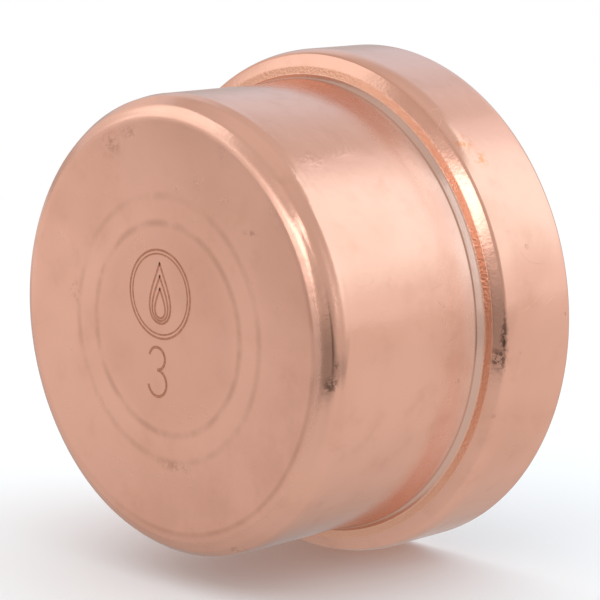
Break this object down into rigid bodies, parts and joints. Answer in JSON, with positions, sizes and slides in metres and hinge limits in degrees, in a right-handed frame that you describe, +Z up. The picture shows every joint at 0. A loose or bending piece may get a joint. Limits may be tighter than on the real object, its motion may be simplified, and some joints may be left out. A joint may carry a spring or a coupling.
{
  "type": "pipe end cap",
  "caption": "Press-connect end cap for large copper tube: a drawn cup with a stepped collar that holds a sealing ring, a separator ring and a toothed grip ring.",
  "frame": {"origin": "on the cap's axis, in the plane where the straight barrel ends and the shoulder begins, which is the outer end of the tube socket", "axes": "+Y along the cap's axis from the closed end to the mouth, the way the tube leaves; +Z up, with the split of the grip ring at the top; +X completes a right-handed frame"},
  "size_m": [0.0954, 0.0551, 0.0954],
  "materials": {
    "copper": "satin",
    "sealing_rubber": "satin",
    "separator_plastic": "matte",
    "grip_steel": "satin"
  },
  "bodies": {
    "cap": {"cap_body": "copper", "sealing_ring": "sealing_rubber"},
    "separator": {"separator_ring": "separator_plastic"},
    "grip": {"grip_ring": "grip_steel"}
  },
  "joints": [
    {"name": "separator_turn", "type": "hinge", "parent": "cap", "child": "separator", "pos_m": [0, 0.0101, 0], "axis": [0, 1, 0], "continuous": true},
    {"name": "grip_turn", "type": "hinge", "parent": "cap", "child": "grip", "pos_m": [0, 0.014, 0], "axis": [0, 1, 0], "continuous": true}
  ]
}
